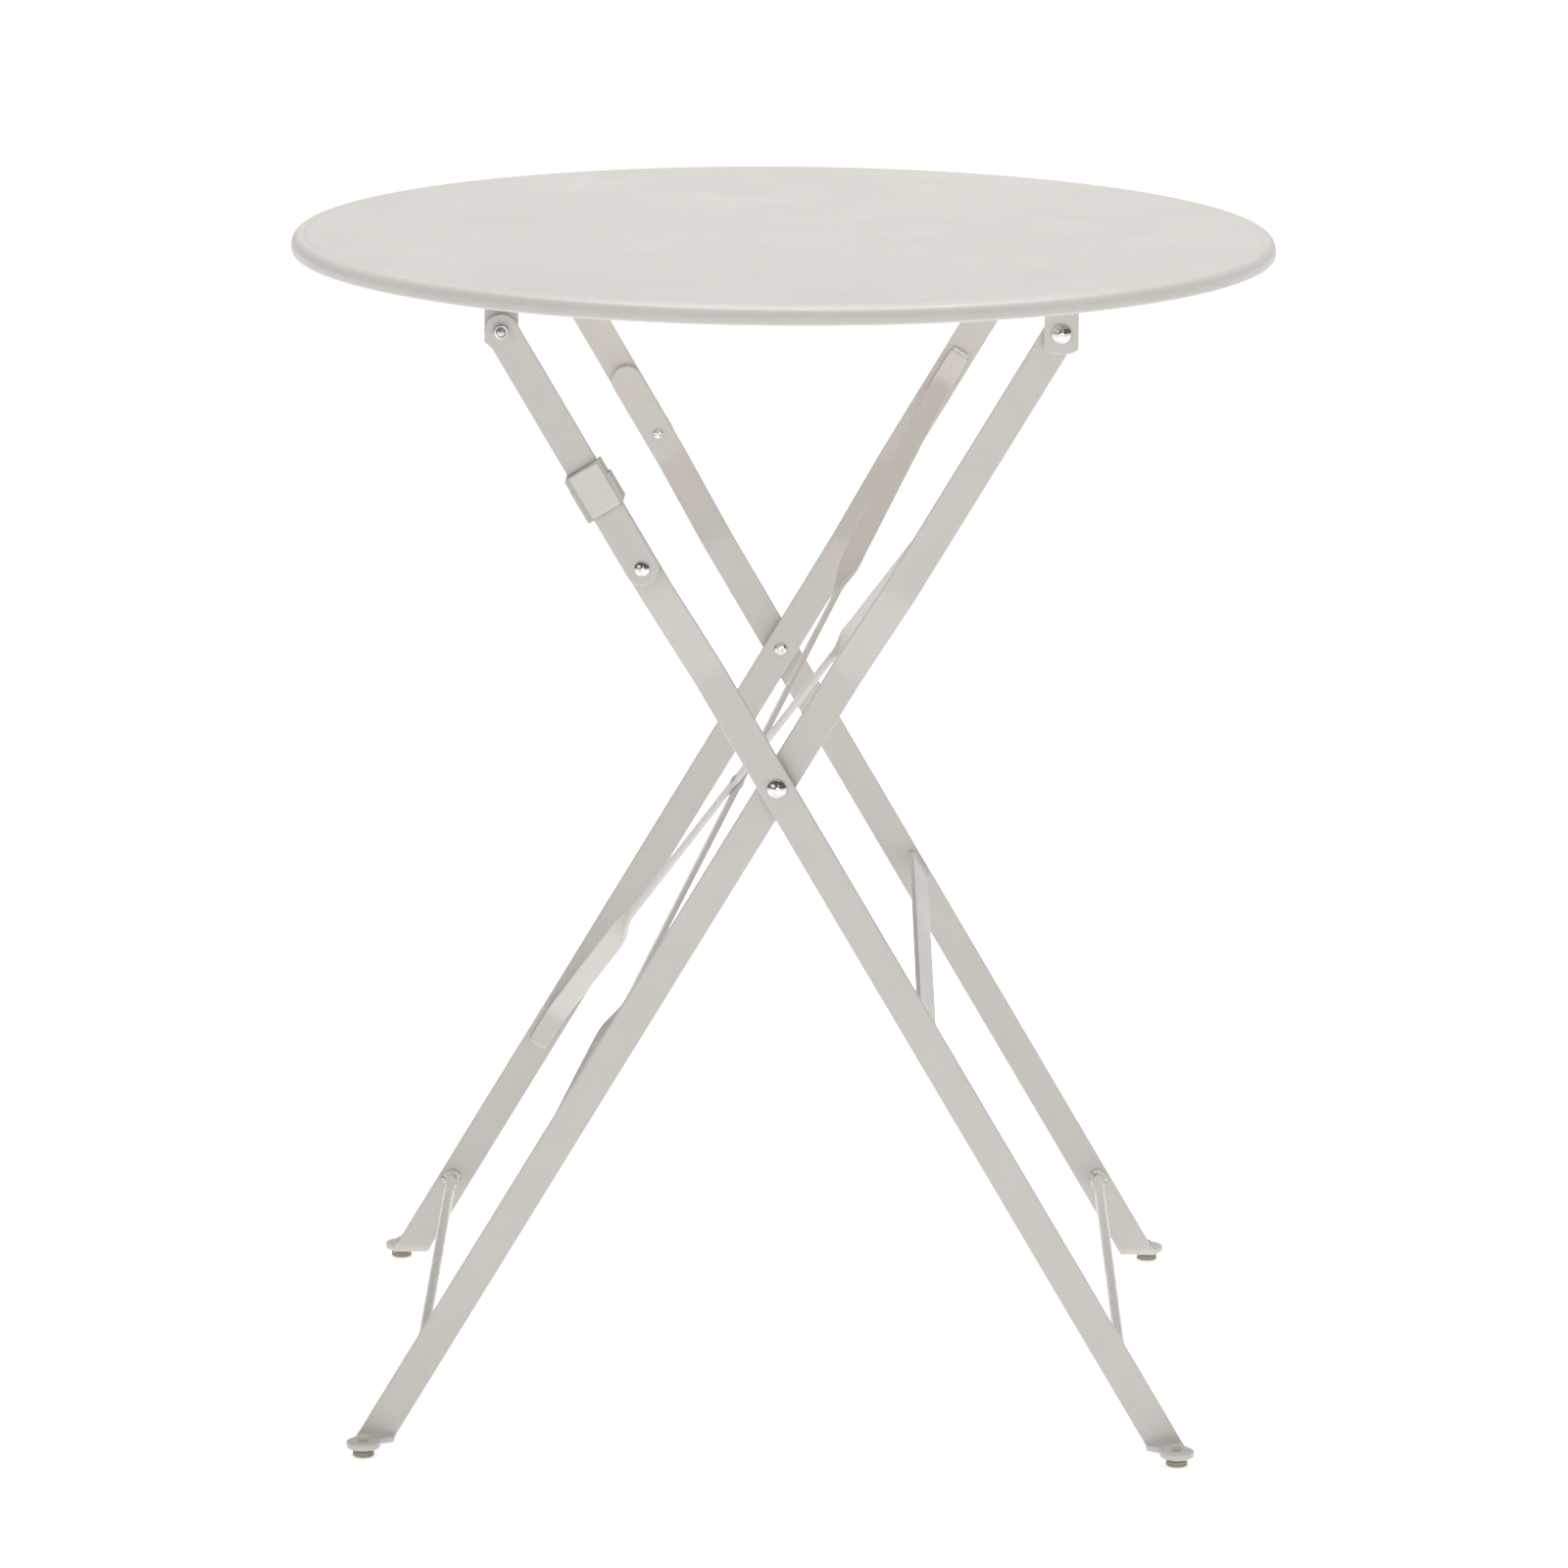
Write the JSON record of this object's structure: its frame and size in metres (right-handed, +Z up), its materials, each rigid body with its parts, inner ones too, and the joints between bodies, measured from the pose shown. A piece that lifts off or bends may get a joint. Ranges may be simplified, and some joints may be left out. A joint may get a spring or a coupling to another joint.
{
  "type": "folding bistro table",
  "caption": "Round steel folding bistro table: thin disc top on crossed flat-bar legs, with cross braces, foot rods, and links locked by a sliding sleeve.",
  "frame": {"origin": "on the floor, under the centre of the round top", "axes": "+Z up; pivot axes run along Y; seen from -Y, +X is to the right and the scissor legs show as an X"},
  "size_m": [0.5999, 0.6, 0.712],
  "materials": {
    "top_paint": "satin powder coat",
    "frame_paint": "satin powder coat",
    "sleeve_paint": "satin",
    "rivet_metal": "polished",
    "zinc": "zinc plated",
    "glide_plastic": "matte"
  },
  "bodies": {
    "inner_frame": {"leg_b_front": "frame_paint", "leg_b_rear": "frame_paint", "brace_front_high": "frame_paint", "brace_rear_high": "frame_paint", "brace_rivet": "frame_paint", "foot_rod_b": "frame_paint", "glides_b": "glide_plastic", "crossing_rivets": "rivet_metal", "top_rivets": "rivet_metal", "pivot_washers": "zinc", "weld_beads_b": "frame_paint"},
    "outer_frame": {"leg_a_front": "frame_paint", "leg_a_rear": "frame_paint", "flat_stretcher": "frame_paint", "foot_rod_a": "frame_paint", "glides_a": "glide_plastic", "link_rivet_tails": "rivet_metal", "weld_beads_a": "frame_paint"},
    "top": {"table_top": "top_paint", "top_rail_left": "frame_paint", "top_rail_right": "frame_paint", "link_bolts": "zinc", "link_nuts": "zinc", "rail_welds": "frame_paint"},
    "links": {"link_front": "frame_paint", "link_rear": "frame_paint", "link_rivet_heads": "rivet_metal"},
    "sleeve": {"lock_sleeve": "sleeve_paint"}
  },
  "joints": [
    {"name": "leg_fold", "type": "hinge", "parent": "inner_frame", "child": "outer_frame", "pos_m": [-0.001, 0, 0.411], "axis": [0, 1, 0], "range_deg": [0, 58.4]},
    {"name": "top_tilt", "type": "hinge", "parent": "inner_frame", "child": "top", "pos_m": [0.163, 0, 0.687], "axis": [0, -1, 0], "range_deg": [0, 53.12]},
    {"name": "link_swing", "type": "hinge", "parent": "top", "child": "links", "pos_m": [-0.163, 0, 0.687], "axis": [0, -1, 0], "range_deg": [0, 56.02]},
    {"name": "sleeve_slide", "type": "slide", "parent": "links", "child": "sleeve", "axis": [-0.5062, 0, 0.8624], "range_m": [0, 0.06001]}
  ],
  "couplings": [
    {"joint": "top_tilt", "follows": "leg_fold", "ratio": 0.90955},
    {"joint": "link_swing", "follows": "leg_fold", "ratio": 0.95918},
    {"joint": "sleeve_slide", "follows": "leg_fold", "m_per_rad": 0.058866}
  ]
}
